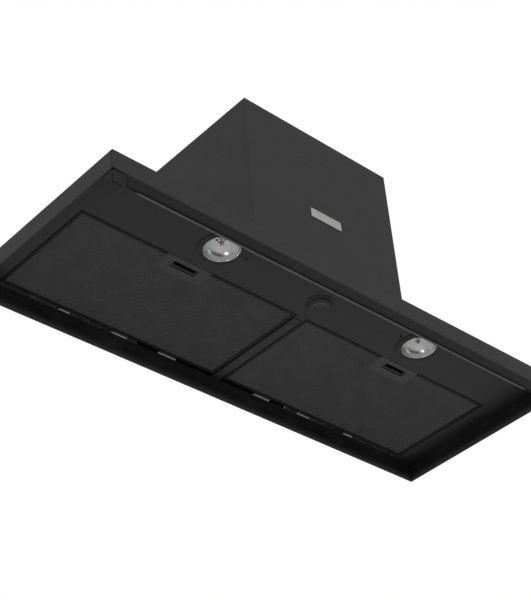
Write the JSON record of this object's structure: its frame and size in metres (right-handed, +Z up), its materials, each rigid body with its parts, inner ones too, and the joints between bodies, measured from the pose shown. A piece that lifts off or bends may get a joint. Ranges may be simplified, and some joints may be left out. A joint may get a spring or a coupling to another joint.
{
  "type": "built-in range hood",
  "caption": "Slim black canopy hood: shallow open tray with hinged grease filters, recessed spotlights and a knob, under a tall motor housing with a round duct collar.",
  "frame": {"origin": "centre of the canopy tray's bottom edge, on the plane that the tray would rest on", "axes": "+X right along the front, +Y from the front to the rear, +Z up"},
  "size_m": [0.9, 0.331, 0.382],
  "materials": {
    "black_enamel": "satin black stove enamel with a fine orange-peel texture",
    "edge_steel": "satin black enamel worn bright along a rolled bead",
    "satin_badge": "satin anodised, blank",
    "galvanised": "bright galvanised sheet",
    "black_plastic": "black moulded plastic",
    "knob_plastic": "black satin gloss",
    "damper_aluminium": "mill finish sheet",
    "bright_steel": "bright zinc or spring steel",
    "filter_rim": "satin black rolled aluminium",
    "filter_mesh": "black expanded aluminium mesh",
    "reflector": "faceted vacuum-metallised bowl",
    "lamp_glass": "clear quartz capsule",
    "pale_plastic": "pale moulded plastic",
    "impeller_plastic": "dark glass-filled plastic",
    "motor_casing": "die cast",
    "rubber": "soft black rubber",
    "capacitor_can": "drawn can",
    "transformer_core": "varnished laminations and winding",
    "lead_sheath": "white silicone sheath"
  },
  "bodies": {
    "hood": {"canopy_pan": "black_enamel", "front_fascia": "black_enamel", "front_lip": "black_enamel", "lip_bead": "edge_steel", "corner_plates": "black_enamel", "centre_bar": "black_enamel", "rear_hooks": "black_enamel", "rear_rivets": "black_enamel", "air_chambers": "galvanised", "housing_shell": "black_enamel", "housing_rear": "black_enamel", "housing_top": "black_enamel", "badge": "satin_badge", "duct_collar": "black_plastic", "damper_pin": "bright_steel", "lamp_bezel_left": "black_plastic", "lamp_reflector_left": "reflector", "lamp_capsule_left": "lamp_glass", "lamp_can_left": "galvanised", "lamp_bezel_right": "black_plastic", "lamp_reflector_right": "reflector", "lamp_capsule_right": "lamp_glass", "lamp_can_right": "galvanised", "knob_bezel": "black_plastic", "speed_switch": "pale_plastic", "scroll_casing": "galvanised", "outlet_adapter": "galvanised", "motor": "motor_casing", "motor_bracket": "galvanised", "blower_brackets": "galvanised", "blower_bushes": "rubber", "capacitor": "capacitor_can", "control_box": "pale_plastic", "control_box_lid": "pale_plastic", "terminal_block": "pale_plastic", "transformer": "transformer_core", "cable_gland": "black_plastic", "lamp_leads": "lead_sheath", "housing_screws": "bright_steel", "collar_screws": "bright_steel", "blower_screws": "bright_steel"},
    "filter_left": {"filter_frame_left": "filter_rim", "filter_mesh_left": "filter_mesh", "filter_tongues_left": "bright_steel", "handle_plate_left": "filter_rim", "latch_spring_left": "bright_steel"},
    "latch_slider_left": {"latch_left": "black_plastic"},
    "filter_right": {"filter_frame_right": "filter_rim", "filter_mesh_right": "filter_mesh", "filter_tongues_right": "bright_steel", "handle_plate_right": "filter_rim", "latch_spring_right": "bright_steel"},
    "latch_slider_right": {"latch_right": "black_plastic"},
    "speed_knob": {"knob": "knob_plastic"},
    "fan": {"impeller": "impeller_plastic", "motor_shaft": "bright_steel"},
    "flap_front": {"damper_flap_front": "damper_aluminium"},
    "flap_rear": {"damper_flap_rear": "damper_aluminium"}
  },
  "joints": [
    {"name": "filter_left_swing", "type": "hinge", "parent": "hood", "child": "filter_left", "pos_m": [-0.209, 0.1566, 0.0316], "axis": [1, 0, 0], "range_deg": [0, 80]},
    {"name": "latch_left_slide", "type": "slide", "parent": "filter_left", "child": "latch_slider_left", "axis": [0, 1, 0], "range_m": [0, 0.004], "stiffness_N_per_m": 300, "springref_m": -0.003, "deforming": ["latch_spring_left"]},
    {"name": "filter_right_swing", "type": "hinge", "parent": "hood", "child": "filter_right", "pos_m": [0.209, 0.1566, 0.0316], "axis": [1, 0, 0], "range_deg": [0, 80]},
    {"name": "latch_right_slide", "type": "slide", "parent": "filter_right", "child": "latch_slider_right", "axis": [0, 1, 0], "range_m": [0, 0.004], "stiffness_N_per_m": 300, "springref_m": -0.003, "deforming": ["latch_spring_right"]},
    {"name": "knob_turn", "type": "hinge", "parent": "hood", "child": "speed_knob", "pos_m": [0, -0.0835, 0.0295], "axis": [0, 0, -1], "range_deg": [0, 270]},
    {"name": "fan_spin", "type": "hinge", "parent": "hood", "child": "fan", "pos_m": [0, 0.01985, 0.1505], "axis": [1, 0, 0], "continuous": true},
    {"name": "flap_front_open", "type": "hinge", "parent": "hood", "child": "flap_front", "pos_m": [0, 0.02285, 0.354], "axis": [-1, 0, 0], "range_deg": [0, 75]},
    {"name": "flap_rear_open", "type": "hinge", "parent": "hood", "child": "flap_rear", "pos_m": [0, 0.02285, 0.354], "axis": [1, 0, 0], "range_deg": [0, 75]}
  ]
}
